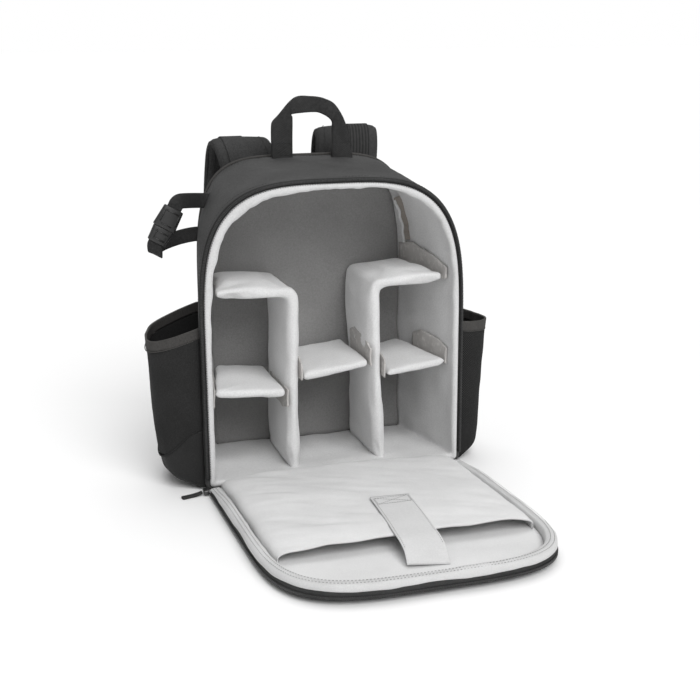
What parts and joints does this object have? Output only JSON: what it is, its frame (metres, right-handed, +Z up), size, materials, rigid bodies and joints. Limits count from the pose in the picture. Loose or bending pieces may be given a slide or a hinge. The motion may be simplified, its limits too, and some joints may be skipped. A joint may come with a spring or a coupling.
{
  "type": "camera backpack",
  "caption": "Padded camera backpack standing open, its arched front flap unzipped and laid flat, with padded dividers, side pockets, a grab handle and shoulder straps.",
  "frame": {"origin": "middle of the flat base on the floor, midway between the opening and the back panel", "axes": "+Z up, -Y the way the opening faces and the flap lies, +X the viewer's right when facing the opening"},
  "size_m": [0.3806, 0.4926, 0.4016],
  "materials": {
    "shell": "woven nylon, matt",
    "lining": "brushed knit over foam",
    "webbing": "ribbed webbing",
    "mesh": "fine mesh",
    "zip": "woven tape with moulded coil",
    "plastic": "moulded, satin",
    "metal": "dark coated zinc"
  },
  "bodies": {
    "root": {"back_panel": "shell", "body_wall": "shell", "buckle_plug": "plastic", "buckle_socket": "plastic", "closure_strap": "lining", "divider_left": "lining", "divider_right": "lining", "flap_binding": "lining", "flap_lining": "lining", "flap_panel": "shell", "flap_pocket": "lining", "flap_rim": "zip", "grab_handle": "webbing", "ladder_lock_left": "plastic", "ladder_lock_right": "plastic", "lining_back": "lining", "lining_wall": "lining", "lower_webbing_left": "webbing", "lower_webbing_right": "webbing", "pocket_left": "shell", "pocket_left_base": "shell", "pocket_left_hem": "webbing", "pocket_right": "mesh", "pocket_right_hem": "webbing", "seam_binding": "lining", "shelf_left": "lining", "shelf_middle": "lining", "shelf_right": "lining", "shoulder_strap_left": "shell", "shoulder_strap_right": "shell", "tab_arm_left": "lining", "tab_arm_right": "lining", "tab_left_divider": "lining", "tab_left_wall": "lining", "tab_middle_left": "lining", "tab_middle_right": "lining", "tab_right_divider": "lining", "tab_right_wall": "lining", "tripod_strap_front": "webbing", "tripod_strap_rear": "webbing", "zip_coil_body": "zip", "zip_coil_flap": "zip", "zip_pull": "webbing", "zip_slider": "metal", "zip_tape_body": "zip"}
  },
  "joints": []
}
